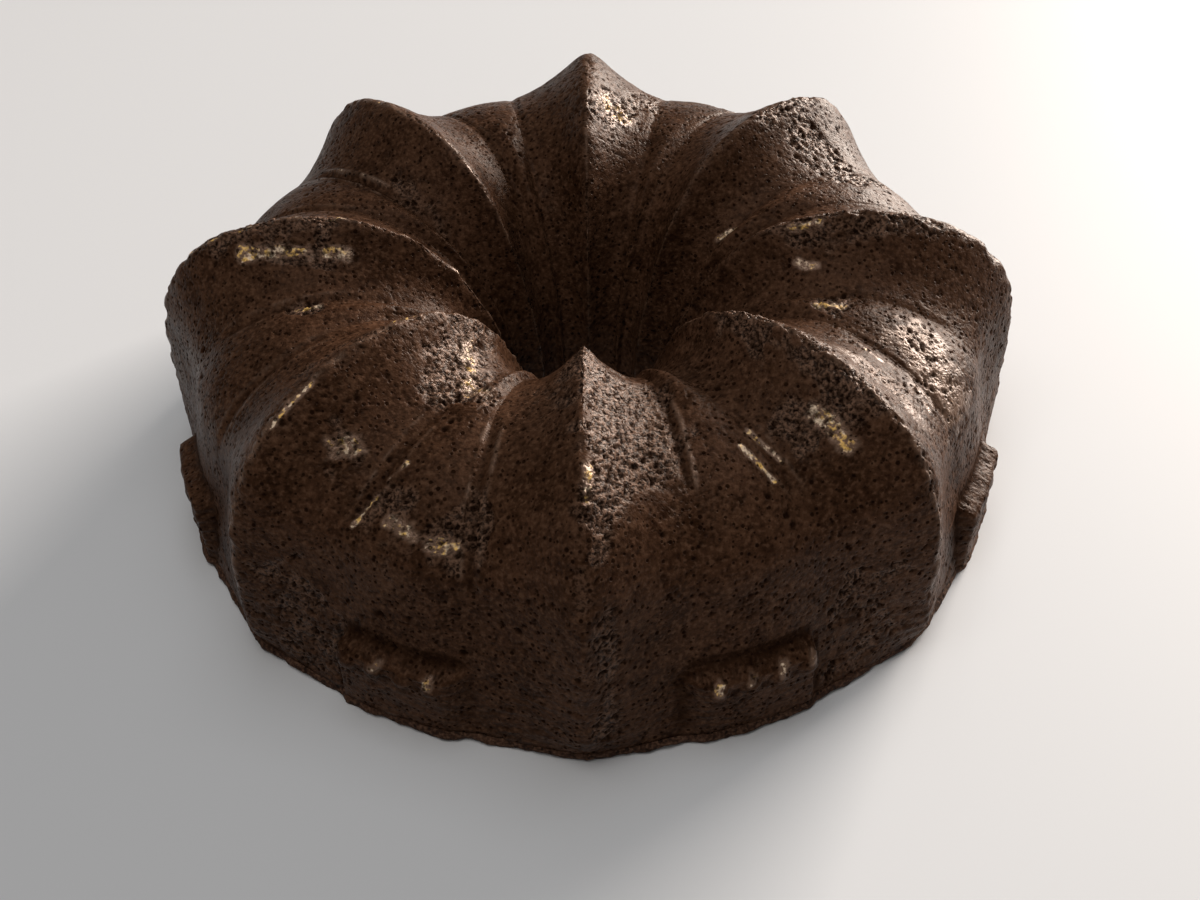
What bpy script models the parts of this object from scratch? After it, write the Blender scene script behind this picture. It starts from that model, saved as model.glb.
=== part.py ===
"""Whole ring cake with eight pinched ridges, as it stands after it leaves its fluted tin.

Frame: metres, +Z up. The origin is the middle of the underside. One ridge points to -Y.
The cake is three layers that were baked together:
  outer_crust  the fluted skin that lay against the tin, centre hole included
  crumb        the soft ring inside the skin
  base_crust   the flat ring underneath, which was the open top of the batter
"""
import math

import bmesh
import bpy
import numpy as np

MM = 0.001

# Plan of the flutes
RIDGES = 8
SECTOR = 360.0 / RIDGES
HALF_SECTOR = SECTOR / 2
FIRST_RIDGE_AZIMUTH = -90.0

# Layers
CRUST = 3.0 * MM
GAP = 0.3 * MM
BASE_THICKNESS = 3.0 * MM
BASE_LIP = 0.6 * MM

# Ridge line from the foot, over the top and down the centre hole:
# radius, height, depth of the valley beside it (mm), angle of the groove beside it (degrees)
PANEL_EDGE = (125.2, 20.5, 8.7, 15.0)
PANEL_SHELF = (125.2, 23.0, 9.2, 15.0)
RIDGE_LINE = (
    (122.8, 3.3, 2.8, 15.0),
    (125.0, 9.5, 6.6, 15.0),
    PANEL_EDGE,
    PANEL_SHELF,
    (124.6, 37.0, 11.4, 13.6),
    (120.0, 55.0, 11.8, 14.4),
    (107.6, 69.6, 13.6, 15.4),
    (89.0, 77.4, 13.4, 16.4),
    (69.5, 78.8, 13.2, 17.6),
    (49.6, 72.6, 12.6, 18.6),
    (36.5, 60.0, 9.0, 19.0),
    (26.5, 40.0, 6.0, 19.0),
    (21.5, 19.5, 4.0, 19.0),
    (19.8, 3.3, 3.0, 19.0),
)
# Rows of the fine outer skin and of the coarser hidden surfaces, for each stretch of that line
SKIN_ROWS = (1, 2, 1, 2, 2, 2, 2, 2, 2, 2, 2, 1, 1)
INNER_ROWS = (1, 1, 1, 1, 1, 1, 1, 1, 1, 1, 1, 1, 1)
UPRIGHT_FOOT_POINTS = 4
UPRIGHT_HOLE_POINTS = 2

# Cross-section of a flute: 0 is the ridge, 1 is the groove, 2 is the middle of the valley
SKIN_LINES = (0.0, 0.1, 0.25, 0.45, 0.7, 0.88, 1.0, 1.12, 1.25, 1.5, 1.75, 2.0)
INNER_LINES = (0.0, 0.25, 0.7, 1.0, 2.0)
BASE_LINES = (0.0, 0.45, 1.0, 1.12, 1.5, 2.0)
RIDGE_SHARPNESS = 1.9
VALLEY_BULGE = 0.06
GROOVE_DEPTH = 1.1 * MM
GROOVE_STARTS = 49.0 * MM
GROOVE_FULL = 64.0 * MM

# Rounded rib that rises along the middle of each valley towards the centre hole
RIB_HEIGHT = 1.3 * MM
RIB_FULL_INSIDE = 50.0 * MM
RIB_ENDS = 80.0 * MM

# Raised panel at the foot of each valley, with a row of round beads on its top edge
PANEL_RADIUS = 121.4 * MM
PANEL_FROM = 1.06
BEADS = 4
BEAD_OUT = 1.3 * MM
BEAD_UP = 0.6 * MM


def clear_scene():
    """Remove whatever the open file holds."""
    for item in list(bpy.data.objects):
        bpy.data.objects.remove(item, do_unlink=True)


def smooth_through(points, rows_per_span):
    """Rows on a smooth curve through the points, with the given rows in each stretch."""
    points = np.array(points)
    lengths = np.linalg.norm(np.diff(points[:, :2], axis=0), axis=1)
    at = np.concatenate(([0.0], np.cumsum(lengths)))
    slopes = np.gradient(points, at, axis=0)
    rows = []
    for i, count in enumerate(rows_per_span):
        for step in range(count):
            f = step / count
            rows.append(
                (2 * f**3 - 3 * f**2 + 1) * points[i]
                + (f**3 - 2 * f**2 + f) * lengths[i] * slopes[i]
                + (3 * f**2 - 2 * f**3) * points[i + 1]
                + (f**3 - f**2) * lengths[i] * slopes[i + 1]
            )
    rows.append(points[-1])
    return np.array(rows)


def ridge_rows(rows_per_span):
    """Each row as radius, height, valley depth, groove angle and the outward direction (r, z)."""
    rows = smooth_through(RIDGE_LINE, rows_per_span)
    rows[:, :3] *= MM
    along = np.gradient(rows[:, :2], axis=0)
    along /= np.linalg.norm(along, axis=1)[:, None]
    outward = np.column_stack((along[:, 1], -along[:, 0]))
    outward[:sum(rows_per_span[:UPRIGHT_FOOT_POINTS - 1]) + 1] = (1.0, 0.0)
    outward[-UPRIGHT_HOLE_POINTS:] = (-1.0, 0.0)
    return np.column_stack((rows, outward))


def flute_lines(half):
    """Every line round the cake, as its ridge number and its signed place in the flute."""
    places = [-place for place in reversed(half[1:-1])] + list(half)
    return [(ridge, place) for ridge in range(RIDGES) for place in places]


def ridge_share(place):
    """How far a place in the flute stands up towards the ridge: 1 on it, 0 in the valley."""
    if place <= 1.0:
        return (1.0 - place) ** RIDGE_SHARPNESS
    return VALLEY_BULGE * math.sin((place - 1.0) * math.pi / 2)


def groove_cut(height, place):
    """Depth of the narrow groove, which fades out towards the foot of the cake."""
    if place != 1.0:
        return 0.0
    fade = (height - GROOVE_STARTS) / (GROOVE_FULL - GROOVE_STARTS)
    return GROOVE_DEPTH * min(max(fade, 0.0), 1.0)


def rib_height(radius, place):
    """Height of the rounded rib in the middle of the valley, which grows towards the hole."""
    if place < 1.0:
        return 0.0
    fade = (RIB_ENDS - radius) / (RIB_ENDS - RIB_FULL_INSIDE)
    return RIB_HEIGHT * min(max(fade, 0.0), 1.0) * math.sin((place - 1.0) * math.pi / 2) ** 2


def bead_share(place):
    """Height of the row of beads at a place across the panel, from 0 to 1."""
    across = (place - 1.0) / 2
    return math.sin(across * BEADS * math.pi) ** 2


def flute_point(row, ridge, place, inset, panels):
    """Point of the fluted surface, inset from the skin by a constant distance."""
    radius, height, depth, groove, out_r, out_z = row
    side = math.copysign(1.0, place)
    place = abs(place)
    sunk = depth * (1.0 - ridge_share(place)) + groove_cut(height, place) + inset
    sunk -= rib_height(radius, place)
    r = radius - out_r * sunk
    z = height - out_z * sunk
    on_outside = out_r > 0.9
    if panels and on_outside and place > PANEL_FROM and height < PANEL_SHELF[1] * MM - GAP:
        r = PANEL_RADIUS - inset
        if height > PANEL_EDGE[1] * MM - GAP:
            r += BEAD_OUT * bead_share(place)
            z += BEAD_UP * bead_share(place)
    if place <= 1.0:
        angle = groove * place
    else:
        angle = groove + (HALF_SECTOR - groove) * (place - 1.0)
    azimuth = math.radians(FIRST_RIDGE_AZIMUTH + ridge * SECTOR + side * angle)
    return r * math.cos(azimuth), r * math.sin(azimuth), z


def add_surface(bm, rows_per_span, half, inset, panels=False):
    """Add the fluted surface as one loop of vertices for each row."""
    lines = flute_lines(half)
    loops = []
    for row in ridge_rows(rows_per_span):
        loops.append([bm.verts.new(flute_point(row, *line, inset, panels)) for line in lines])
    return loops


def join_loops(bm, loops, flip=False):
    """Faces between each loop and the next one."""
    for lower, upper in zip(loops, loops[1:]):
        count = len(lower)
        for i in range(count):
            j = (i + 1) % count
            if flip:
                bm.faces.new((lower[i], upper[i], upper[j], lower[j]))
            else:
                bm.faces.new((lower[i], lower[j], upper[j], upper[i]))


def join_rims(bm, fine, coarse, half_fine, half_coarse):
    """Flat faces between a fine rim and a coarse one whose lines are a part of its lines."""
    fine_lines = flute_lines(half_fine)
    starts = [fine_lines.index(line) for line in flute_lines(half_coarse)]
    total = len(fine)
    for i, start in enumerate(starts):
        j = (i + 1) % len(starts)
        steps = (starts[j] - start) % total
        edge = [fine[(start + k) % total] for k in range(steps + 1)]
        bm.faces.new(edge + [coarse[j], coarse[i]])


def finish(name, bm, material):
    """Turn the mesh into a smooth-shaded object with its faces outwards."""
    bmesh.ops.triangulate(bm, faces=bm.faces, quad_method="FIXED")
    bmesh.ops.recalc_face_normals(bm, faces=bm.faces)
    mesh = bpy.data.meshes.new(name)
    bm.to_mesh(mesh)
    bm.free()
    mesh.shade_smooth()
    mesh.set_sharp_from_angle(angle=math.radians(40))
    mesh.materials.append(material)
    item = bpy.data.objects.new(name, mesh)
    bpy.context.scene.collection.objects.link(item)
    return item


def cake_material(name, colour, roughness):
    """Plain baked-cake material."""
    material = bpy.data.materials.new(name)
    material.use_nodes = True
    shader = material.node_tree.nodes["Principled BSDF"]
    shader.inputs["Base Color"].default_value = (*colour, 1.0)
    shader.inputs["Roughness"].default_value = roughness
    shader.inputs["Metallic"].default_value = 0.0
    return material


def make_outer_crust():
    """Fluted shell, open underneath at its foot and lining the centre hole."""
    bm = bmesh.new()
    skin = add_surface(bm, SKIN_ROWS, SKIN_LINES, 0.0, panels=True)
    inner = add_surface(bm, INNER_ROWS, INNER_LINES, CRUST)
    join_loops(bm, skin)
    join_loops(bm, inner, flip=True)
    join_rims(bm, skin[0], inner[0], SKIN_LINES, INNER_LINES)
    join_rims(bm, skin[-1], inner[-1], SKIN_LINES, INNER_LINES)
    return finish("outer_crust", bm, cake_material("dark_crust", (0.045, 0.022, 0.013), 0.42))


def make_crumb():
    """Soft ring that fills the shell, a gap inside it."""
    bm = bmesh.new()
    loops = add_surface(bm, INNER_ROWS, INNER_LINES, CRUST + 2 * GAP)
    join_loops(bm, loops + [loops[0]])
    return finish("crumb", bm, cake_material("soft_crumb", (0.085, 0.040, 0.024), 0.9))


def make_base_crust():
    """Flat ring that closes the underside, with a lip just past the foot of the shell."""
    bm = bmesh.new()
    foot, *_, hole = ridge_rows(INNER_ROWS)
    loops = []
    for row, height in ((foot, 0.0), (foot, BASE_THICKNESS), (hole, BASE_THICKNESS), (hole, 0.0)):
        points = [flute_point(row, *line, -BASE_LIP, True) for line in flute_lines(BASE_LINES)]
        loops.append([bm.verts.new((x, y, height)) for x, y, _ in points])
    join_loops(bm, loops + [loops[0]])
    return finish("base_crust", bm, cake_material("base_crust", (0.060, 0.031, 0.019), 0.75))


clear_scene()
make_outer_crust()
make_crumb()
make_base_crust()
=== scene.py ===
"""Looks of the whole chocolate ring cake: a torn, pored crust with eight pinched ridges, on a pale floor."""

import math

import bpy
import numpy as np
from mathutils import Matrix, Vector


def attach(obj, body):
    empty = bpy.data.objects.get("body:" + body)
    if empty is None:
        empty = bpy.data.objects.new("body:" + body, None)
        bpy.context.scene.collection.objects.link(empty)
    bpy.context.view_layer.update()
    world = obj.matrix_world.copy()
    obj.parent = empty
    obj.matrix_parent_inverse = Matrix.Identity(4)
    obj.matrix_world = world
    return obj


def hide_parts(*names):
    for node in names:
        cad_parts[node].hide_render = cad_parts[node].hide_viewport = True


MM = 0.001

# ---------------------------------------------------------------- form of the flutes
RIDGES = 8
SECTOR = 360.0 / RIDGES
HALF_SECTOR = SECTOR / 2
FIRST_RIDGE_AZIMUTH = -90.0
# Ridge line from the foot, over the top and down the centre hole:
# radius, height, depth of the valley beside it (mm), angle of the groove beside it (degrees)
PANEL_EDGE = (125.2, 20.5, 8.7, 15.0)
RIDGE_LINE = (
    (122.8, 3.3, 2.8, 15.0),
    (125.0, 9.5, 6.6, 15.0),
    PANEL_EDGE,
    (125.2, 23.0, 9.2, 15.0),
    (124.6, 37.0, 11.4, 13.6),
    (120.0, 55.0, 11.8, 14.4),
    (107.6, 69.6, 13.6, 15.4),
    (89.0, 77.4, 13.4, 16.4),
    (69.5, 78.8, 13.2, 17.6),
    (49.6, 72.6, 12.6, 18.6),
    (36.5, 60.0, 9.0, 19.0),
    (26.5, 40.0, 6.0, 19.0),
    (21.5, 19.5, 4.0, 19.0),
    (19.8, 3.3, 3.0, 19.0),
)
UPRIGHT_FOOT_POINTS = 4
HOLE_FROM_POINT = 9
RIDGE_SHARPNESS = 1.9
# Half-width of the rounded crest, as a place in the flute, on the skirt and over the top
SKIRT_ROUNDING = 0.03
TOP_ROUNDING = 0.085
ROUNDER_FROM = 45.0 * MM
ROUNDEST_FROM = 68.0 * MM
VALLEY_BULGE = 0.06

# Narrow groove beside each ridge: a dark channel between two thin raised lips.
# Towards the hole the lips fade and the floor of the valley rises to a rounded rib.
GROOVE_DEPTH = 1.1 * MM
GROOVE_HALF_WIDTH = 1.2 * MM
GROOVE_SHIFT = 0.9 * MM
LIP_HEIGHT = 0.45 * MM
LIP_AT = 2.2 * MM
LIP_HALF_WIDTH = 0.65 * MM
GROOVE_FADES_OVER = 9.0
# Groove before and after each ridge, from the front ridge round: how clearly the tin pressed it,
# and where it begins and ends, as a way up the ridge line (mm)
GROOVE_BEFORE = (
    (0.70, 44, 112), (0.55, 67, 100), (0.35, 66, 150), (0.30, 66, 150),
    (0.35, 66, 150), (0.40, 66, 150), (0.45, 66, 150), (0.50, 46, 110),
)
GROOVE_AFTER = (
    (0.85, 80, 134), (0.45, 50, 106), (0.30, 66, 150), (0.40, 66, 150),
    (0.40, 66, 150), (1.00, 80, 150), (0.50, 66, 150), (0.55, 56, 110),
)
RIB_HEIGHT = 1.3 * MM
RIB_FULL_INSIDE = 50.0 * MM
RIB_ENDS = 80.0 * MM

# Raised panel at the foot of each valley, with a row of round beads on its top edge
PANEL_RADIUS = 121.4 * MM
PANEL_WIDTH = 31.8 * MM
PANEL_SHIFT = -2.8 * MM
PANEL_GAP = -0.8 * MM
PANEL_SIDE = 2.6 * MM
PANEL_FRONT_SIDE = 8.0 * MM
PANEL_TOP = 24.4 * MM
PANEL_TOP_SOFT = 2.8 * MM
FOOT_ENDS = 30.0 * MM
BEADS = 4
BEAD_LEVEL = 19.0 * MM
BEAD_RADIUS = 3.6 * MM
BEAD_SUNK = 2.2 * MM
# How clearly the tin pressed the beads, for the panel after each ridge from the front ridge round
BEAD_CLARITY = (1.0, 0.35, 0.8, 0.9, 0.8, 0.9, 0.35, 1.0)

CRUST = 3.0 * MM
BASE_THICKNESS = 3.0 * MM
SEATING = 0.2 * MM

# ---------------------------------------------------------------- fineness of the mesh
SKIN_ROW = 0.60 * MM
HOLE_ROW = 1.2 * MM
HIDDEN_ROW = 4.0 * MM
LINES_PER_HALF = 80
HIDDEN_LINES_PER_HALF = 20
HALVED_INSIDE = 52.0 * MM
QUARTERED_INSIDE = 30.0 * MM
# Places in the flute round which the lines lie closer, and how thinly they lie in the valley
CLOSER_AT_RIDGE = 0.07
GROOVE_MIDDLE = 0.98
CLOSER_AT_GROOVE = 0.16
VALLEY_THINNESS = 0.55
PLACE_STEPS = 4001


def smooth_through(points, rows_per_span):
    """Rows on a smooth curve through the points, with the given rows in each stretch."""
    points = np.array(points)
    lengths = np.linalg.norm(np.diff(points[:, :2], axis=0), axis=1)
    at = np.concatenate(([0.0], np.cumsum(lengths)))
    slopes = np.gradient(points, at, axis=0)
    rows = []
    for i, count in enumerate(rows_per_span):
        for step in range(count):
            f = step / count
            rows.append(
                (2 * f**3 - 3 * f**2 + 1) * points[i]
                + (f**3 - 2 * f**2 + f) * lengths[i] * slopes[i]
                + (3 * f**2 - 2 * f**3) * points[i + 1]
                + (f**3 - f**2) * lengths[i] * slopes[i + 1]
            )
    rows.append(points[-1])
    return np.array(rows)


def row_counts(fine, coarse):
    """How many rows each stretch of the ridge line gets."""
    points = np.array(RIDGE_LINE)[:, :2] * MM
    lengths = np.linalg.norm(np.diff(points, axis=0), axis=1)
    return [
        math.ceil(length / (fine if i < HOLE_FROM_POINT else coarse))
        for i, length in enumerate(lengths)
    ]


def ridge_rows(counts):
    """Radius, height, valley depth, groove angle and outward direction (r, z) of every row."""
    rows = smooth_through(RIDGE_LINE, counts)
    rows[:, :3] *= MM
    along = np.gradient(rows[:, :2], axis=0)
    along /= np.linalg.norm(along, axis=1)[:, None]
    outward = np.column_stack((along[:, 1], -along[:, 0]))
    blend_rows = sum(counts[:UPRIGHT_FOOT_POINTS])
    upright_rows = sum(counts[:UPRIGHT_FOOT_POINTS - 1])
    share = np.clip((np.arange(len(rows)) - upright_rows) / (blend_rows - upright_rows), 0, 1)
    outward = share[:, None] * outward + (1 - share[:, None]) * np.array((1.0, 0.0))
    outward[-counts[-1]:] = (-1.0, 0.0)
    outward /= np.linalg.norm(outward, axis=1)[:, None]
    return np.column_stack((rows, outward))


def half_places(count):
    """Places from the ridge (0) by the groove (1) to the valley (2), closer where the form turns."""
    fine = np.linspace(0.0, 2.0, PLACE_STEPS)
    closer = bump(fine, CLOSER_AT_RIDGE) + bump(fine - GROOVE_MIDDLE, CLOSER_AT_GROOVE)
    density = np.where(fine < 1.0, 1.0, VALLEY_THINNESS) * (1.0 + closer)
    reached = np.concatenate(([0.0], np.cumsum((density[1:] + density[:-1]) / 2)))
    return np.interp(np.linspace(0.0, reached[-1], count + 1), reached, fine)


def flute_lines(count):
    """Ridge number and signed place of every line round the cake."""
    half = half_places(count)
    places = np.concatenate((-half[-2:0:-1], half))
    ridge = np.repeat(np.arange(RIDGES), len(places))
    return ridge, np.tile(places, RIDGES)


# ---------------------------------------------------------------- noise
def lattice(x, y, z, seed):
    """Repeatable number from -1 to 1 for each whole-number point."""
    mask = 0xFFFFFFFF
    mixed = (x * 374761393 + y * 668265263 + z * 1440662683 + seed * 1274126177) & mask
    mixed = ((mixed ^ (mixed >> 13)) * 1274126177) & mask
    mixed = ((mixed ^ (mixed >> 15)) * 2246822519) & mask
    return ((mixed >> 8) & 0xFFFF) / 32767.5 - 1.0


def value_noise(points, size, seed):
    """Smooth noise from -1 to 1 with features of the given size."""
    scaled = points / size
    cell = np.floor(scaled).astype(np.int64)
    f = scaled - cell
    f = f * f * (3 - 2 * f)
    total = 0.0
    for corner in range(8):
        step = np.array((corner & 1, corner >> 1 & 1, corner >> 2 & 1))
        weight = np.prod(np.where(step, f, 1 - f), axis=-1)
        at = cell + step
        total = total + weight * lattice(at[..., 0], at[..., 1], at[..., 2], seed)
    return total


def layered_noise(points, size, seed, layers=3):
    """Noise with finer and weaker layers on it, from about -1 to 1."""
    total = 0.0
    for layer in range(layers):
        total = total + value_noise(points, size / 2**layer, seed + layer) / 1.8**layer
    return total / 1.6


def rise(x, low, high):
    """Smooth step from 0 at low to 1 at high."""
    f = np.clip((x - low) / (high - low), 0.0, 1.0)
    return f * f * (3 - 2 * f)


def bump(x, width):
    """Smooth bell of height 1 and the given half-width."""
    return np.exp(-((x / width) ** 2))


# ---------------------------------------------------------------- the fluted surface
def way_up(rows):
    """Distance of every row from the foot, along the ridge line."""
    steps = np.linalg.norm(np.diff(rows[:, :2], axis=0), axis=1)
    return np.concatenate(([0.0], np.cumsum(steps)))


def place_angle(groove, place):
    """Angle from the ridge to a place in the flute, in degrees."""
    return np.where(place <= 1, groove * place, groove + (HALF_SECTOR - groove) * (place - 1))


def groove_parts(rows, lines):
    """Shares from 0 to 1 of the channel beside each ridge and of the raised lips along it."""
    radius, _, depth, groove, out_r, _ = [column[:, None] for column in rows.T]
    ridge, signed = lines
    angle = place_angle(groove, np.abs(signed)[None, :])
    across = np.radians(angle - groove) * (radius - depth * out_r) + GROOVE_SHIFT
    before, after = np.take(GROOVE_BEFORE, ridge, axis=0), np.take(GROOVE_AFTER, ridge, axis=0)
    strength, begins, ends = np.where(signed < 0, before.T, after.T)
    up = way_up(rows)[:, None] / MM
    fade = strength * rise(up, begins, begins + GROOVE_FADES_OVER)
    fade = fade * (1 - rise(up, ends - GROOVE_FADES_OVER, ends))
    lips = bump(across - LIP_AT, LIP_HALF_WIDTH) + bump(across + LIP_AT, LIP_HALF_WIDTH)
    lips = strength * lips * rise(radius, RIB_FULL_INSIDE, RIB_ENDS)
    return fade * bump(across, GROOVE_HALF_WIDTH), fade * lips


def panel_radius(r, height, along, ridge, on_left):
    """Radius at the foot of a valley, where a raised panel carries a row of round beads."""
    clarity = np.take(BEAD_CLARITY, np.where(on_left, ridge - 1, ridge) % RIDGES)
    along = along - PANEL_SHIFT
    slope = np.where(ridge == 0, PANEL_FRONT_SIDE, PANEL_SIDE)
    inside = PANEL_WIDTH / 2 - np.abs(along)
    block = rise(inside, PANEL_GAP + PANEL_SIDE - slope, PANEL_GAP + PANEL_SIDE)
    block = block * (1 - rise(height, PANEL_TOP - PANEL_TOP_SOFT, PANEL_TOP))
    plain = r + block * np.maximum(PANEL_RADIUS - r, 0)
    pitch = PANEL_WIDTH / BEADS
    beside = along - pitch * (np.floor(along / pitch) + 0.5)
    beyond = np.where(inside > 0, beside**2, 1.0) + (height - BEAD_LEVEL) ** 2
    dome = np.sqrt(np.clip(BEAD_RADIUS**2 - beyond, 0, None))
    beaded = np.maximum(plain, np.where(dome > 0, PANEL_RADIUS - BEAD_SUNK + dome, 0))
    return plain + clarity * (beaded - plain)


def flute_grid(rows, lines, inset=0.0, dressed=True):
    """Points of every row and line as (rows, lines, 3). Dressed adds the grooves and the panels."""
    radius, height, depth, groove, out_r, out_z = [column[:, None] for column in rows.T]
    ridge, signed = lines
    place = np.abs(signed)[None, :]
    angle = place_angle(groove, place)
    rounding = SKIRT_ROUNDING + (TOP_ROUNDING - SKIRT_ROUNDING) * rise(height, ROUNDER_FROM, ROUNDEST_FROM)
    flank = np.sqrt(place**2 + rounding**2) - rounding
    flank = np.clip(1 - flank, 0, 1) ** RIDGE_SHARPNESS
    valley = VALLEY_BULGE * np.sin(np.clip(place - 1, 0, 1) * math.pi / 2)
    sunk = depth * (1 - np.where(place <= 1, flank, valley)) + inset
    if dressed:
        channel, lips = groove_parts(rows, lines)
        sunk = sunk + GROOVE_DEPTH * channel - LIP_HEIGHT * lips
        rib = RIB_HEIGHT * (1 - rise(radius, RIB_FULL_INSIDE, RIB_ENDS))
        sunk = sunk - rib * np.sin(np.clip(place - 1, 0, 1) * math.pi / 2) ** 2
    r = radius - out_r * sunk
    z = height - out_z * sunk
    if dressed:
        on_foot = (out_r > 0.9) & (height < FOOT_ENDS)
        on_left = signed < 0
        along = np.where(on_left, 1, -1) * np.radians(HALF_SECTOR - angle) * PANEL_RADIUS
        r = np.where(on_foot, panel_radius(r, height, along, ridge, on_left), r)
    turn = FIRST_RIDGE_AZIMUTH + ridge[None, :] * SECTOR + np.sign(signed)[None, :] * angle
    turn = np.radians(turn)
    return np.stack((r * np.cos(turn), r * np.sin(turn), z + 0 * turn), axis=-1)


def grid_normals(grid):
    """Outward unit normal at every point of the grid."""
    along = np.gradient(grid, axis=0)
    around = np.roll(grid, -1, axis=1) - np.roll(grid, 1, axis=1)
    normal = np.cross(around, along)
    return normal / np.maximum(np.linalg.norm(normal, axis=-1), 1e-12)[..., None]


# ---------------------------------------------------------------- roughness of the crust, its painted shade and highlights
# Torn places, where the skin stayed in the tin. Each is a band between two points of the flutes:
# ridge, place and way up the ridge line (mm), twice, then its half-width (mm) and its strength
TORN = (
    ((0, 0.10, 131), (0, 0.35, 86), 15, 1.0),
    ((0, 0.60, 120), (0, 0.60, 94), 13, 1.0),
    ((0, 0.10, 86), (0, 0.12, 66), 5, 0.7),
    ((0, 0.14, 46), (0, 0.16, 10), 5, 0.6),
    ((7, 0.30, 141), (7, 0.85, 122), 12, 1.0),
    ((7, 1.90, 60), (7, 1.55, 66), 9, 0.6),
    ((0, -1.50, 64), (0, -1.05, 71), 9, 0.7),
    ((7, -0.30, 92), (7, -0.12, 128), 7, 0.7),
    ((7, 0.48, 80), (7, 0.56, 83), 6, 0.7),
    ((6, 0.00, 78), (6, 0.02, 108), 7, 0.7),
    ((6, 0.26, 90), (6, 0.42, 112), 4, 0.9),
    ((6, 1.22, 98), (6, 1.28, 104), 4, 0.8),
    ((1, 0.02, 128), (1, -0.10, 84), 8, 0.9),
    ((1, -0.30, 84), (1, -0.55, 90), 8, 0.9),
    ((1, 0.45, 88), (1, 0.65, 72), 9, 0.6),
    ((2, -1.70, 116), (2, -1.60, 110), 5, 0.8),
    ((2, -0.05, 126), (2, -0.05, 86), 7, 0.7),
    ((3, -0.35, 96), (3, -1.10, 86), 10, 0.8),
    ((3, -0.05, 104), (3, -0.05, 80), 7, 0.6),
    ((4, -0.15, 116), (4, -0.80, 96), 9, 0.8),
    ((4, 0.20, 70), (4, 0.60, 48), 9, 0.7),
    ((5, 0.80, 122), (5, 0.85, 142), 5, 0.6),
    ((5, -0.10, 66), (5, -0.40, 40), 8, 0.7),
    ((3, 1.60, 52), (3, 1.20, 74), 9, 0.6),
    ((7, 0.45, 28), (7, 0.60, 12), 12, 0.55),
    ((1, -0.55, 26), (1, -0.65, 10), 12, 0.55),
    ((1, 1.30, 62), (1, 1.90, 78), 9, 0.45),
)
# Painted glints and sheen in the same form: from 0.75 up they hold painted bright grains, below that an even
# painted sheen; both also raise the gloss
PAINTED_GLINTS = (
    ((6, 0.27, 86), (6, 0.37, 117), 3.0, 0.92),
    ((6, 1.16, 99), (6, 1.10, 107), 1.6, 1.0),
    ((7, 0.45, 139), (7, 1.40, 122), 4.5, 0.86),
    ((7, -0.15, 134), (7, -0.08, 116), 2.0, 0.9),
    ((7, 0.03, 73), (7, 0.03, 88), 0.9, 1.0),
    ((7, 0.96, 58), (7, 1.20, 86), 0.9, 1.0),
    ((7, 0.48, 80), (7, 0.56, 83), 4.0, 0.85),
    ((7, 1.60, 65), (7, 1.95, 63), 3.0, 0.86),
    ((0, -1.60, 62), (0, -1.22, 62), 2.6, 0.9),
    ((1, -1.46, 92), (1, -1.22, 78), 1.0, 1.0),
    ((1, -1.00, 96), (1, -0.91, 83), 1.0, 0.9),
    ((1, -0.42, 88), (1, -0.40, 77), 3.6, 0.9),
    ((1, 0.83, 95), (1, 0.79, 65), 0.9, 0.9),
    ((1, 1.30, 60), (1, 1.95, 80), 11.0, 0.6),
    ((1, 0.40, 98), (1, 0.45, 66), 5.0, 0.35),
    ((2, -0.48, 126), (2, -0.55, 121), 2.2, 0.9),
    ((2, -1.95, 116), (2, -1.72, 110), 2.4, 1.0),
    ((2, -0.10, 126), (2, -0.10, 118), 2.0, 0.9),
    ((3, -0.90, 150), (3, -1.20, 143), 1.2, 1.0),
    ((4, -0.32, 113), (4, -0.56, 117), 6.0, 0.85),
    ((0, 0.05, 86), (0, 0.05, 78), 2.0, 0.9),
    ((7, 1.62, 18), (7, 1.66, 19), 1.8, 0.9),
    ((0, -1.50, 18), (0, -1.46, 19), 2.0, 0.9),
    ((0, 1.06, 18), (0, 1.10, 19), 2.0, 0.9),
    ((0, 1.56, 18), (0, 1.60, 19), 1.6, 0.8),
    ((1, -1.90, 18), (1, -1.86, 19), 2.0, 0.9),
    ((1, -1.36, 18), (1, -1.32, 19), 1.6, 0.7),
)
BAND_RAGGEDNESS = 0.6
TORN_EDGE_SIZE = 6.0 * MM
TORN_EDGE_SHARE = 0.45
PAINTED_GLINT_EDGE_SIZE = 2.6 * MM
SHEEN_PATCH_SIZE = 3.0 * MM
# Half-width of the glossy line with painted sheen along the crest and of the crumbly crest, as a place in
# the flute
CREST_SHEEN_WIDTH = 0.035
CRUMBLY_WIDTH = 0.09
CREST_PATCH_SIZE = 5.0 * MM
HILL_SIZE = 24.0 * MM
HILL_HEIGHT = 0.55 * MM
DIMPLE_SIZE = 7.0 * MM
DIMPLE_HEIGHT = 0.22 * MM
GRAIN_SIZE = 2.2 * MM
GRAIN_HEIGHT = 0.10 * MM
CRUMB_SIZE = 1.3 * MM
CRUMB_HEIGHT = 0.75 * MM
TORN_LOSS = 0.5 * MM
CREST_LOSS = 0.9 * MM
WRINKLE_WIDTH = 7.0 * MM
WRINKLE_RISE = 1.3 * MM
WRINKLE_HEIGHT = 0.36 * MM
WRINKLES_UP_TO = 26.0 * MM
WRINKLE_BEND = 2.0 * MM
WRINKLE_BEND_SIZE = 15.0 * MM

# Pores: how many, smallest and largest radius, depth as a share of the radius
SMALL_PORES = (16000, 0.35 * MM, 0.70 * MM, 0.8)
LARGE_PORES = (350, 0.70 * MM, 1.20 * MM, 0.8)
TORN_PORES = (6000, 0.35 * MM, 0.90 * MM, 1.0)
PORE_CLUSTER_SIZE = 12.0 * MM
FEWEST_PORES = 0.35
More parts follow.
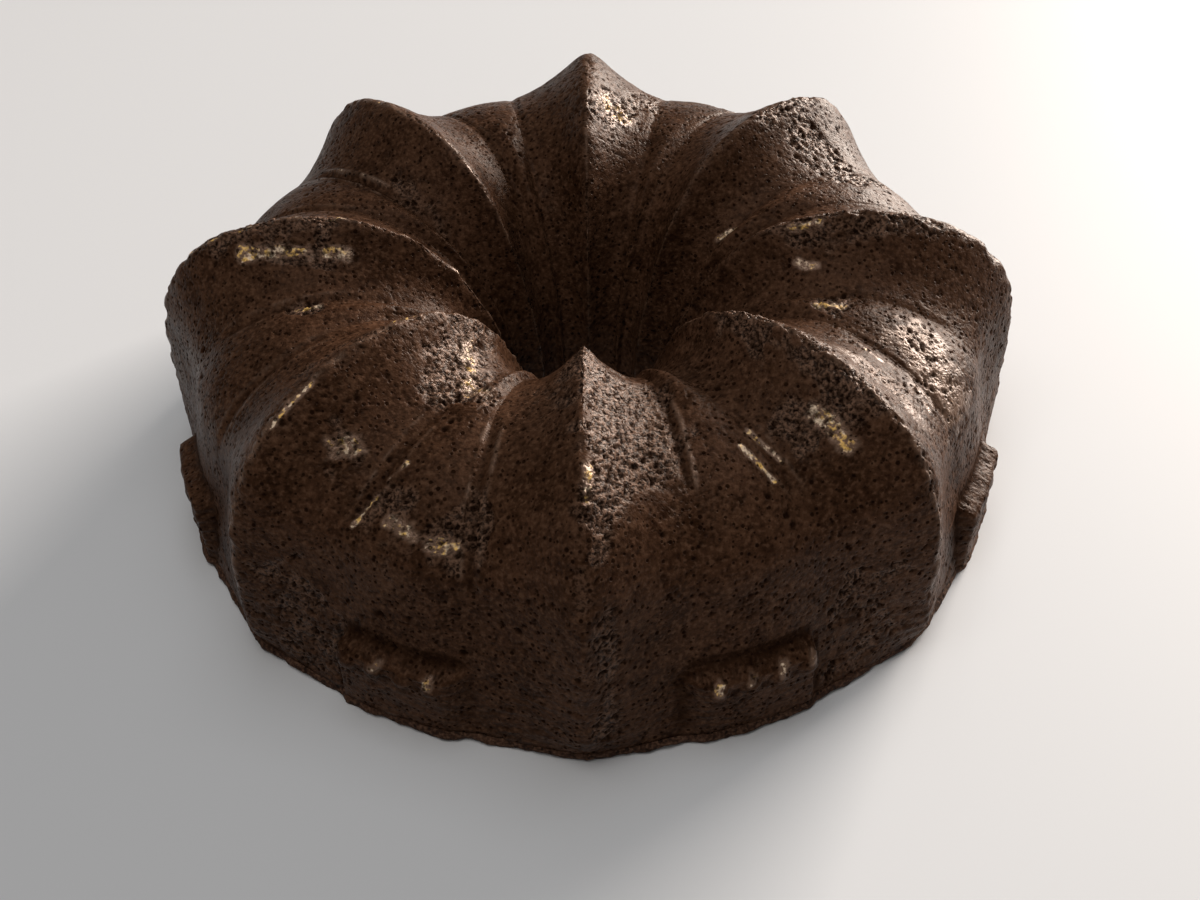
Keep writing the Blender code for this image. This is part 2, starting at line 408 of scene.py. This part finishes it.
# Pore depth at which the painted shade in a pore is darkest
DARK_PORE_DEPTH = 0.5 * MM
# How strong the gloss and painted sheen along the crest of each ridge are, from the front ridge round
CREST_GLOSS_AND_PAINTED_SHEEN = (0.0, 0.7, 0.2, 0.3, 0.4, 0.8, 1.0, 0.6)
# Hollows get painted shade: how many rows and lines off their surroundings lie, and how deep the darkest is
HOLLOW_REACH = 6
DARKEST_HOLLOW = 0.55 * MM
HOLLOW_PAINTED_SHADE = 0.6
PORE_REACH_ROWS = 3
PORE_REACH_LINES = 6


def spot(grid, lines, up, ridge, place, distance):
    """Point of the grid nearest to a ridge, a place beside it and a distance up the ridge line."""
    row = np.argmin(np.abs(up - distance * MM))
    line = np.argmin(np.abs(lines[1] - place) + 10 * (lines[0] != ridge))
    return grid[row, line]


def band(grid, lines, up, ragged, start, end, half_width):
    """Share from 0 to 1 of a band between two points of the flutes, with ragged soft edges."""
    a = spot(grid, lines, up, *start)
    b = spot(grid, lines, up, *end)
    along = np.clip(((grid - a) @ (b - a)) / ((b - a) @ (b - a)), 0, 1)
    away = np.linalg.norm(grid - a - along[..., None] * (b - a), axis=-1) / (half_width * MM)
    return rise(1 - away + BAND_RAGGEDNESS * ragged, 0.0, 0.55)


def torn_share(grid, lines, up):
    """How torn the crust is at every point, from 0 to 1."""
    torn = np.zeros(grid.shape[:2])
    ragged = layered_noise(grid, TORN_EDGE_SIZE, 11)
    for start, end, half_width, strength in TORN:
        torn = np.maximum(torn, strength * band(grid, lines, up, ragged, start, end, half_width))
    return rise(torn + TORN_EDGE_SHARE * ragged * (torn > 0), 0.15, 0.95)


def shine_share(grid, rows, lines, up):
    """Where the skin gets more gloss with painted sheen and glints: the lips of the grooves, the crests and
    a few small patches.
    """
    _, lips = groove_parts(rows, lines)
    above_foot = rise(up[:, None], 10 * MM, 30 * MM)
    # Painted highlight line along each crest, with more gloss, above the foot
    crest = np.take(CREST_GLOSS_AND_PAINTED_SHEEN, lines[0]) * bump(lines[1], CREST_SHEEN_WIDTH) * above_foot
    # The groove lips and crests get painted sheen and more gloss, broken into patches
    shine = np.maximum(lips, crest) * rise(layered_noise(grid, SHEEN_PATCH_SIZE, 71, 2), -0.5, 0.3)
    # Painted glints and sheen patches from the table
    painted_glints = np.zeros(grid.shape[:2])
    ragged = layered_noise(grid, PAINTED_GLINT_EDGE_SIZE, 73, 2)
    for start, end, half_width, strength in PAINTED_GLINTS:
        painted_glints = np.maximum(painted_glints, strength * band(grid, lines, up, ragged, start, end, half_width))
    return np.maximum(shine, painted_glints)


def wrinkles(grid, up):
    """Shallow level wrinkles of the skirt, from -1 to 1."""
    round_way = np.arctan2(grid[..., 1], grid[..., 0]) * PANEL_RADIUS
    height = grid[..., 2]
    bend = WRINKLE_BEND * value_noise(grid, WRINKLE_BEND_SIZE, 31)
    flat = np.stack((round_way / WRINKLE_WIDTH, (height + bend) / WRINKLE_RISE, 0 * height), axis=-1)
    return layered_noise(flat, 1.0, 32, 2) * (1 - rise(up[:, None], 0.6 * WRINKLES_UP_TO, WRINKLES_UP_TO))


def hollowness(grid, normal):
    """How far the skin lies under the middle of the points some way round it, in metres."""
    rows = np.arange(len(grid))
    around = grid[np.minimum(rows + HOLLOW_REACH, rows[-1])] + grid[np.maximum(rows - HOLLOW_REACH, 0)]
    around = around + np.roll(grid, HOLLOW_REACH, axis=1) + np.roll(grid, -HOLLOW_REACH, axis=1)
    return np.sum((around / 4 - grid) * normal, axis=-1)


def press_pores(grid, depth, chosen, radius, deepness):
    """Deepen the map of depths by a round pit at each chosen point of the grid."""
    rows, lines = chosen
    centres = grid[rows, lines]
    for row_step in range(-PORE_REACH_ROWS, PORE_REACH_ROWS + 1):
        near_rows = np.clip(rows + row_step, 0, grid.shape[0] - 1)
        for line_step in range(-PORE_REACH_LINES, PORE_REACH_LINES + 1):
            near_lines = (lines + line_step) % grid.shape[1]
            away = np.linalg.norm(grid[near_rows, near_lines] - centres, axis=1) / radius
            pit = deepness * np.clip(1 - away**2, 0, 1)
            np.maximum.at(depth, (near_rows, near_lines), pit)


def choose_points(rng, weights, count):
    """Rows and lines of points of the grid, picked by weight."""
    total = np.cumsum(weights.ravel())
    picked = np.searchsorted(total, rng.random(count) * total[-1])
    return np.unravel_index(picked, weights.shape)


def pore_depths(grid, torn):
    """Depth of the pores at every point of the grid."""
    rng = np.random.default_rng(5)
    along = np.linalg.norm(np.gradient(grid, axis=0), axis=-1)
    around = np.linalg.norm(np.roll(grid, -1, axis=1) - grid, axis=-1)
    area = along * around
    depth = np.zeros(grid.shape[:2])
    clusters = FEWEST_PORES + rise(layered_noise(grid, PORE_CLUSTER_SIZE, 51), -0.2, 0.6)
    for pores, weights in ((SMALL_PORES, clusters), (LARGE_PORES, clusters), (TORN_PORES, torn)):
        count, smallest, largest, share = pores
        chosen = choose_points(rng, area * weights, count)
        radius = smallest + (largest - smallest) * rng.random(count) ** 2
        press_pores(grid, depth, chosen, radius, share * radius * (0.5 + 0.5 * rng.random(count)))
    return depth


def roughened(grid, rows, lines):
    """The skin with all its roughness, and the shares of torn crumb, painted shade in pores and hollows, and
    gloss with painted highlights on it.
    """
    up = way_up(rows)
    normal = grid_normals(grid)
    torn = torn_share(grid, lines, up)
    place = np.abs(lines[1])[None, :]
    crest = bump(place, CRUMBLY_WIDTH) * rise(up[:, None], 4 * MM, 20 * MM)
    crest = crest * rise(layered_noise(grid, CREST_PATCH_SIZE, 17), -0.4, 0.5)
    crumbly = np.maximum(torn, 0.5 * crest)
    height = HILL_HEIGHT * value_noise(grid, HILL_SIZE, 1)
    height = height + DIMPLE_HEIGHT * layered_noise(grid, DIMPLE_SIZE, 2, 2)
    height = height + GRAIN_HEIGHT * layered_noise(grid, GRAIN_SIZE, 5, 2)
    height = height + WRINKLE_HEIGHT * wrinkles(grid, up)
    height = height + CRUMB_HEIGHT * crumbly * layered_noise(grid, CRUMB_SIZE, 8, 2)
    height = height - TORN_LOSS * torn - CREST_LOSS * crest
    pores = pore_depths(grid, torn)
    skin = grid + normal * (height - pores)[..., None]
    # Painted shade in hollows, fading out down the narrow centre hole
    hollow_shade = HOLLOW_PAINTED_SHADE * rise(hollowness(grid, normal), 0.0, DARKEST_HOLLOW)
    hollow_shade = hollow_shade * rise(rows[:, 0], QUARTERED_INSIDE, HALVED_INSIDE)[:, None]
    # Painted shade: pores darken by their depth, hollows by how far they sink
    dark = np.maximum(np.clip(pores / DARK_PORE_DEPTH, 0, 1), hollow_shade)
    return skin, {"crumb": crumbly, "painted_shade": dark, "shine": shine_share(grid, rows, lines, up)}


# ---------------------------------------------------------------- meshes
def fan_faces(lower, upper):
    """Faces between two loops of vertex numbers. One may have a whole number of times the other's."""
    if len(lower) < len(upper):
        return [face[::-1] for face in fan_faces(upper, lower)]
    times = len(lower) // len(upper)
    b, b_next = upper, np.roll(upper, -1)
    around = np.append(lower, lower[0])
    if times == 1:
        return np.column_stack((around[:-1], around[1:], b_next, b)).tolist()
    faces = []
    for step in range(times):
        a, a_next = around[step:-1:times], around[step + 1::times]
        faces += np.column_stack((a, a_next, b if step < times / 2 else b_next)).tolist()
    middle = around[math.ceil(times / 2)::times]
    return faces + np.column_stack((middle[:len(b)], b_next, b)).tolist()


def ring_body(name, loops, material):
    """Closed ring-shaped object from loops of points, each joined to the next and the last to the first."""
    starts = np.cumsum([0] + [len(loop) for loop in loops])
    numbers = [np.arange(a, b) for a, b in zip(starts, starts[1:])]
    faces = []
    for lower, upper in zip(numbers, numbers[1:] + numbers[:1]):
        faces += fan_faces(lower, upper)
    mesh = bpy.data.meshes.new(name)
    mesh.from_pydata(np.concatenate(loops).tolist(), [], faces)
    mesh.update()
    mesh.shade_smooth()
    mesh.materials.append(material)
    item = bpy.data.objects.new(name, mesh)
    bpy.context.scene.collection.objects.link(item)
    return item


def set_attribute(item, name, loops, total):
    """Store a number for every vertex, and 0 for those after the loops."""
    values = np.zeros(total, np.float32)
    known = np.concatenate(loops)
    values[:len(known)] = known
    item.data.attributes.new(name, "FLOAT", "POINT").data.foreach_set("value", values)


def thinned(grid, radius):
    """Rows of a grid as loops, with fewer lines where the ring is narrow."""
    steps = np.where(radius > HALVED_INSIDE, 1, np.where(radius > QUARTERED_INSIDE, 2, 4))
    return [row[::step] for row, step in zip(grid, steps)]


def make_skin(material):
    """The torn, pored skin, as a closed shell as thick as the crust."""
    rows = ridge_rows(row_counts(SKIN_ROW, HOLE_ROW))
    lines = flute_lines(LINES_PER_HALF)
    skin, shares = roughened(flute_grid(rows, lines), rows, lines)
    skin[0, :, 2] = BASE_THICKNESS - SEATING
    hidden_rows = ridge_rows(row_counts(HIDDEN_ROW, HIDDEN_ROW))
    hidden = flute_grid(hidden_rows, flute_lines(HIDDEN_LINES_PER_HALF), CRUST, dressed=False)
    loops = thinned(skin, rows[:, 0]) + list(hidden[::-1])
    item = ring_body("crust_skin", loops, material)
    total = sum(len(loop) for loop in loops)
    for name, share in shares.items():
        set_attribute(item, name, thinned(share, rows[:, 0]), total)
    return item


# Edge of the base ring, from the underside to the top: distance past the skin and height (mm)
BASE_EDGE = ((-0.5, 0.0), (0.3, 0.4), (0.7, 1.1), (0.6, 1.9), (0.1, 2.6), (-1.0, 3.0))
EDGE_NOISE = 0.9 * MM
EDGE_NOISE_SIZE = 5.0 * MM
EDGE_STRETCH = 2
UNDERSIDE_ROWS = 90
EDGE_ROWS = 2 * len(BASE_EDGE)
BASE_LINES_PER_HALF = 60
UNDERSIDE_PORES = (2600, 0.7 * MM, 2.2 * MM, 0.5)
UNDERSIDE_DARK_DEPTH = 0.8 * MM
UNDERSIDE_WAVES = 0.35 * MM
UNDERSIDE_WAVE_SIZE = 16.0 * MM


def base_sections():
    """Rows of the base ring: share of the way from the hole to the foot, distance past it, height."""
    outer = [(1.0, past, height) for past, height in BASE_EDGE]
    inner = [(0.0, -past, height) for past, height in reversed(BASE_EDGE)]
    under = [(share, 0.0, 0.0) for share in np.linspace(0.0, 1.0, UNDERSIDE_ROWS)[1:-1]]
    return np.array(outer + inner + under)


def base_grid():
    """Points of the base ring as (rows, lines, 3), with a ragged edge."""
    outline = flute_grid(ridge_rows(row_counts(HIDDEN_ROW, HIDDEN_ROW)), flute_lines(BASE_LINES_PER_HALF))
    foot, hole = outline[0, :, :2], outline[-1, :, :2]
    share, past, height = [column[:, None] for column in base_sections().T]
    across = hole + share[..., None] * (foot - hole)
    outward = across / np.linalg.norm(across, axis=-1)[..., None]
    edge_points = np.dstack((across, EDGE_STRETCH * MM * height + 0 * across[..., 0]))
    rough_edge = EDGE_NOISE * layered_noise(edge_points, EDGE_NOISE_SIZE, 61, 4)
    on_edge = (height > 0) & (height < BASE_THICKNESS / MM)
    past = past * MM + np.where(on_edge, rough_edge, 0.0)
    flat = across + past[..., None] * outward
    return np.dstack((flat, height * MM + 0 * flat[..., 0]))


def underside_pits(grid):
    """Depth of the pores at every point of the underside."""
    rng = np.random.default_rng(9)
    pits = np.zeros(grid.shape[:2])
    count, smallest, largest, deepness = UNDERSIDE_PORES
    on_underside = np.arange(len(grid)) >= EDGE_ROWS + 2
    chosen = choose_points(rng, np.linalg.norm(grid[..., :2], axis=-1) * on_underside[:, None], count)
    radius = smallest + (largest - smallest) * rng.random(count) ** 2
    press_pores(grid, pits, chosen, radius, deepness * radius)
    return pits


def make_base(material):
    """The dry base ring: a ragged lip round the foot and a flat, pitted underside."""
    grid = base_grid()
    pits = underside_pits(grid)
    waves = UNDERSIDE_WAVES * np.clip(layered_noise(grid, UNDERSIDE_WAVE_SIZE, 65), 0, 1)
    waves[:EDGE_ROWS + 1] = 0
    grid[..., 2] += pits + waves
    radii = np.linalg.norm(grid[..., :2], axis=-1).mean(axis=1)
    loops = thinned(grid, radii)
    item = ring_body("base_ring", loops, material)
    # Painted shade in the underside's pits, full at this depth
    dark = np.clip(pits / UNDERSIDE_DARK_DEPTH, 0, 1)
    set_attribute(item, "painted_shade", thinned(dark, radii), sum(map(len, loops)))
    return item


# ---------------------------------------------------------------- materials
# Colours as linear red, green and blue
DEEP_CRUST = (0.032, 0.0135, 0.0062)
WARM_CRUST = (0.058, 0.0270, 0.0145)
PALE_PATCH = (0.092, 0.044, 0.024)
DARK_PATCH = (0.017, 0.0066, 0.0030)
PALE_SPECK = (0.155, 0.083, 0.050)
DARK_SPECK = (0.012, 0.0045, 0.0020)
PALE_CRUMB = (0.155, 0.086, 0.055)
DARK_CRUMB = (0.007, 0.0025, 0.0010)
CRUST_PIT_SHADE = (0.006, 0.0022, 0.0009)
PAINTED_SHEEN = (0.23, 0.145, 0.100)
PAINTED_PALE_GLINT = (0.85, 0.68, 0.50)
PAINTED_GOLD_GLINT = (0.95, 0.60, 0.17)
DEEP_BASE = (0.038, 0.0155, 0.0075)
WARM_BASE = (0.075, 0.036, 0.021)
PALE_BASE_SPECK = (0.150, 0.085, 0.056)
BASE_PIT_SHADE = (0.008, 0.0030, 0.0015)
DEEP_INSIDE = (0.075, 0.036, 0.022)
WARM_INSIDE = (0.120, 0.062, 0.040)
INSIDE_PIT_SHADE = (0.025, 0.011, 0.007)
FLOOR_COLOUR = (0.70, 0.73, 0.77)
FLOOR_ROUGHNESS = 0.6
CRUST_SHINE_TINT = (1.0, 0.72, 0.58)
SKIN_GLOSS = 0.065
BASE_GLOSS = 0.15
CRUST_BUMP = 0.45 * MM
BASE_BUMP = 0.4 * MM
CRUMB_BUMP = 0.7 * MM


def node(tree, kind, sockets, **settings):
    """New shader node. Each socket gets a plain value, or a link from another node's output."""
    item = tree.nodes.new("ShaderNode" + kind)
    for key, value in settings.items():
        setattr(item, key, value)
    for name, value in sockets.items():
        if isinstance(value, bpy.types.NodeSocket):
            tree.links.new(value, item.inputs[name])
        else:
            item.inputs[name].default_value = value
    return item


def noise(tree, at, size, detail=2.0):
    """Noise from 0 to 1 with features of the given size."""
    return node(tree, "TexNoise", {"Vector": at, "Scale": 1 / size, "Detail": detail}).outputs["Fac"]


def mapped(tree, value, low, high, to_low=0.0, to_high=1.0):
    """Value taken from one range to another, and kept inside it."""
    sockets = {"Value": value, "From Min": low, "From Max": high, "To Min": to_low, "To Max": to_high}
    return node(tree, "MapRange", sockets).outputs["Result"]


def maths(tree, operation, a, b):
    """Result of one operation on two numbers."""
    return node(tree, "Math", {0: a, 1: b}, operation=operation).outputs["Value"]


def blended(tree, share, a, b):
    """Colour a, going over to colour b by the share."""
    mix = node(tree, "Mix", {"Factor": share}, data_type="RGBA")
    for socket, value in ((mix.inputs[6], a), (mix.inputs[7], b)):
        if isinstance(value, bpy.types.NodeSocket):
            tree.links.new(value, socket)
        else:
            socket.default_value = (*value, 1.0)
    return mix.outputs[2]


def start_material(name):
    """New material: its node tree, its shader, and the place on the object in metres."""
    material = bpy.data.materials.new(name)
    material.use_nodes = True
    tree = material.node_tree
    at = node(tree, "TexCoord", {}).outputs["Object"]
    return material, tree, tree.nodes["Principled BSDF"], at


def attribute(tree, name):
    """A number stored for every vertex of the mesh."""
    return node(tree, "Attribute", {}, attribute_name=name).outputs["Fac"]


def add_bump(tree, shader, strength, distance, height):
    """Fine relief on the shader's normal."""
    bumped = node(tree, "Bump", {"Strength": strength, "Distance": distance, "Height": height})
    tree.links.new(bumped.outputs["Normal"], shader.inputs["Normal"])


def pinholes(tree, at, spacing, smallest, largest):
    """Small round pores that are too fine for the mesh: 1 in the middle of each, 0 between them."""
    cells = node(tree, "TexVoronoi", {"Vector": at, "Scale": 1 / spacing})
    chance = node(tree, "SeparateColor", {"Color": cells.outputs["Color"]}).outputs["Red"]
    radius = mapped(tree, chance, 0.0, 1.0, smallest / spacing, largest / spacing)
    share = maths(tree, "DIVIDE", cells.outputs["Distance"], radius)
    return mapped(tree, share, 0.60, 1.0, 1.0, 0.0)


def crust_colour(tree, at, shares, dark, mottle, grain, speckle):
    """Colour of the crust: mottled skin, torn crumb, painted sheen, painted glints as pale and golden
    grains, and painted shade in pits and hollows.
    """
    crumb, shine = shares
    broad = noise(tree, at, 18 * MM, 4.0)
    colour = blended(tree, mapped(tree, broad, 0.35, 0.65), DEEP_CRUST, WARM_CRUST)
    colour = blended(tree, mapped(tree, mottle, 0.45, 0.75, 0.0, 0.7), colour, PALE_PATCH)
    colour = blended(tree, mapped(tree, mottle, 0.30, 0.42, 0.6, 0.0), colour, DARK_PATCH)
    colour = blended(tree, mapped(tree, speckle, 0.52, 0.68, 0.0, 0.40), colour, PALE_SPECK)
    colour = blended(tree, mapped(tree, speckle, 0.34, 0.46, 0.6, 0.0), colour, DARK_SPECK)
    grains = blended(tree, mapped(tree, grain, 0.40, 0.58), DARK_CRUMB, PALE_CRUMB)
    colour = blended(tree, maths(tree, "MULTIPLY", crumb, 0.9), colour, grains)
    # Painted sheen: a lighter colour standing in for a highlight on lips, crests and sheen patches
    colour = blended(tree, maths(tree, "MULTIPLY", shine, 0.55), colour, PAINTED_SHEEN)
    # Painted glints: pale and golden grains standing in for specular highlights, at fixed places
    painted_glint = maths(tree, "ADD", shine, mapped(tree, speckle, 0.0, 1.0, -0.6, 0.6))
    painted_glint = mapped(tree, painted_glint, 0.86, 1.06)
    painted_glint_colour = blended(tree, mapped(tree, mottle, 0.45, 0.55), PAINTED_PALE_GLINT, PAINTED_GOLD_GLINT)
    colour = blended(tree, painted_glint, colour, painted_glint_colour)
    # Painted shade: pits and hollows are darkened toward near black
    return blended(tree, maths(tree, "MULTIPLY", dark, 0.85), colour, CRUST_PIT_SHADE)


def crust_material():
    """Dark satin chocolate crust, with dull pits darkened by painted shade, painted glints and sheen, and
    dry, lighter crumb where the skin is torn.
    """
    material, tree, shader, at = start_material("dark_torn_crust")
    crumb, painted_shade, shine = [attribute(tree, name) for name in ("crumb", "painted_shade", "shine")]
    mottle = noise(tree, at, 3.6 * MM, 4.0)
    grain = noise(tree, at, 0.9 * MM, 3.0)
    speckle = noise(tree, at, 1.2 * MM, 4.0)
    holes = pinholes(tree, at, 1.7 * MM, 0.15 * MM, 0.70 * MM)
    # dark is the painted shade of pits and hollows, with the finer pinholes darkened too
    dark = maths(tree, "MAXIMUM", painted_shade, maths(tree, "MULTIPLY", holes, 0.9))
    colour = crust_colour(tree, at, (crumb, shine), dark, mottle, grain, speckle)
    tree.links.new(colour, shader.inputs["Base Color"])
    rough = mapped(tree, mottle, 0.3, 0.7, 0.33, 0.46)
    rough = maths(tree, "SUBTRACT", rough, maths(tree, "MULTIPLY", shine, 0.12))
    rough = maths(tree, "MAXIMUM", rough, maths(tree, "MULTIPLY", dark, 0.9))
    tree.links.new(rough, shader.inputs["Roughness"])
    lift = maths(tree, "MULTIPLY", grain, mapped(tree, crumb, 0.0, 1.0, 0.55, 1.5))
    lift = maths(tree, "ADD", lift, maths(tree, "MULTIPLY", mottle, 0.30))
    lift = maths(tree, "SUBTRACT", lift, maths(tree, "MULTIPLY", holes, 0.40))
    add_bump(tree, shader, 1.0, CRUST_BUMP, lift)
    shader.inputs["Specular Tint"].default_value = (*CRUST_SHINE_TINT, 1.0)
    gloss = maths(tree, "MAXIMUM", maths(tree, "MULTIPLY", shine, 0.8), maths(tree, "MULTIPLY", crumb, 0.28))
    gloss = maths(tree, "MAXIMUM", gloss, SKIN_GLOSS)
    gloss = maths(tree, "MULTIPLY", gloss, mapped(tree, dark, 0.0, 1.0, 1.0, 0.0))
    tree.links.new(gloss, shader.inputs["Specular IOR Level"])
    return material


def base_material():
    """Dry, dull baked base, a little lighter than the crust, with painted shade in its pits."""
    material, tree, shader, at = start_material("dry_base")
    mottle = noise(tree, at, 4.0 * MM, 4.0)
    grain = noise(tree, at, 0.8 * MM, 3.0)
    holes = pinholes(tree, at, 1.7 * MM, 0.2 * MM, 0.7 * MM)
    dark = maths(tree, "MAXIMUM", attribute(tree, "painted_shade"), maths(tree, "MULTIPLY", holes, 0.7))
    colour = blended(tree, mapped(tree, mottle, 0.35, 0.65), DEEP_BASE, WARM_BASE)
    colour = blended(tree, mapped(tree, grain, 0.50, 0.66, 0.0, 0.7), colour, PALE_BASE_SPECK)
    colour = blended(tree, mapped(tree, grain, 0.34, 0.50, 0.8, 0.0), colour, DARK_SPECK)
    # Painted shade in the pits and pinholes
    colour = blended(tree, dark, colour, BASE_PIT_SHADE)
    tree.links.new(colour, shader.inputs["Base Color"])
    tree.links.new(mapped(tree, grain, 0.3, 0.7, 0.62, 0.85), shader.inputs["Roughness"])
    shader.inputs["Specular IOR Level"].default_value = BASE_GLOSS
    lift = maths(tree, "SUBTRACT", maths(tree, "ADD", grain, mottle), holes)
    add_bump(tree, shader, 0.8, BASE_BUMP, lift)
    return material


def crumb_material():
    """Soft, open, matte chocolate crumb."""
    material, tree, shader, at = start_material("soft_crumb")
    grain = noise(tree, at, 1.2 * MM, 4.0)
    holes = pinholes(tree, at, 2.4 * MM, 0.4 * MM, 1.1 * MM)
    colour = blended(tree, mapped(tree, grain, 0.35, 0.65), DEEP_INSIDE, WARM_INSIDE)
    # Painted shade in the crumb's pinholes
    colour = blended(tree, holes, colour, INSIDE_PIT_SHADE)
    tree.links.new(colour, shader.inputs["Base Color"])
    tree.links.new(mapped(tree, grain, 0.3, 0.7, 0.8, 0.95), shader.inputs["Roughness"])
    add_bump(tree, shader, 1.0, CRUMB_BUMP, maths(tree, "SUBTRACT", grain, holes))
    return material


def floor_material():
    """Plain pale floor."""
    material, _, shader, _ = start_material("pale_floor")
    shader.inputs["Base Color"].default_value = (*FLOOR_COLOUR, 1.0)
    shader.inputs["Roughness"].default_value = FLOOR_ROUGHNESS
    return material


# ---------------------------------------------------------------- floor, light and camera
FLOOR_HALF_SIZE = 8.0
CAMERA_AT = (6.7 * MM, -311.7 * MM, 288.6 * MM)
LOOK_AT = (3.2 * MM, -11.6 * MM, 0.0)
CAMERA_ROLL = -0.95
LENS = 40.62
SENSOR = 36.0
NEAREST_SEEN = 10 * MM
ROOM_COLOUR = (1.0, 0.95, 0.90)
ROOM_STRENGTH = 0.14
LIT_POINT = (0.0, 0.0, 40 * MM)
# Soft square lights: name, place, width (m), power (W) and colour
LIGHTS = (
    ("key", (2.74, 3.26, 1.12), 2.2, 490.0, (1.0, 0.89, 0.79)),
    ("fill", (-0.28, -0.34, 1.38), 0.8, 5.2, (1.0, 0.94, 0.88)),
    ("top", (0.10, 0.30, 1.30), 0.8, 2.6, (1.0, 1.0, 1.0)),
)


def make_floor():
    """Large flat floor under the cake."""
    s = FLOOR_HALF_SIZE
    mesh = bpy.data.meshes.new("floor")
    mesh.from_pydata([(-s, -s, 0), (s, -s, 0), (s, s, 0), (-s, s, 0)], [], [(0, 1, 2, 3)])
    mesh.materials.append(floor_material())
    floor = bpy.data.objects.new("floor", mesh)
    bpy.context.scene.collection.objects.link(floor)


def aim(item, at, target, roll=0.0):
    """Put a camera or a light somewhere, pointing at a target."""
    item.location = at
    turn = (Vector(target) - Vector(at)).to_track_quat("-Z", "Y")
    item.rotation_euler = (turn.to_matrix() @ Matrix.Rotation(math.radians(roll), 3, "Z")).to_euler()
    bpy.context.scene.collection.objects.link(item)


def area_light(name, at, size, power, colour):
    """Soft square light that points at the cake."""
    light = bpy.data.lights.new(name, "AREA")
    light.size = size
    light.energy = power
    light.color = colour
    aim(bpy.data.objects.new(name, light), at, LIT_POINT)


def make_light():
    """Soft key from the right and behind, weak fills from the left and above, and a dim room."""
    world = bpy.data.worlds.new("room")
    world.use_nodes = True
    background = world.node_tree.nodes["Background"]
    background.inputs["Color"].default_value = (*ROOM_COLOUR, 1.0)
    background.inputs["Strength"].default_value = ROOM_STRENGTH
    bpy.context.scene.world = world
    for light in LIGHTS:
        area_light(*light)
    bpy.context.scene.view_settings.view_transform = "Standard"


def make_camera():
    """The camera of the main view."""
    camera = bpy.data.cameras.new("camera")
    camera.lens = LENS
    camera.sensor_width = SENSOR
    camera.clip_start = NEAREST_SEEN
    item = bpy.data.objects.new("camera", camera)
    aim(item, CAMERA_AT, LOOK_AT, CAMERA_ROLL)
    bpy.context.scene.camera = item


# ---------------------------------------------------------------- the whole scene
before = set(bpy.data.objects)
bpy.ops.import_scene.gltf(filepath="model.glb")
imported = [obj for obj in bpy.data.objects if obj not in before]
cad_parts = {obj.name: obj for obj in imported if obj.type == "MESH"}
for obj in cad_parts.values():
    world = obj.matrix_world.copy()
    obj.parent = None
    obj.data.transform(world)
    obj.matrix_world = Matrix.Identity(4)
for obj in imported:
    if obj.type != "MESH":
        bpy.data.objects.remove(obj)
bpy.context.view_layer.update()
make_camera()
make_light()
make_floor()

skin = make_skin(crust_material())
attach(skin, "root")
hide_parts("outer_crust")

base = make_base(base_material())
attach(base, "root")
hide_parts("base_crust")

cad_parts["crumb"].material_slots[0].material = crumb_material()
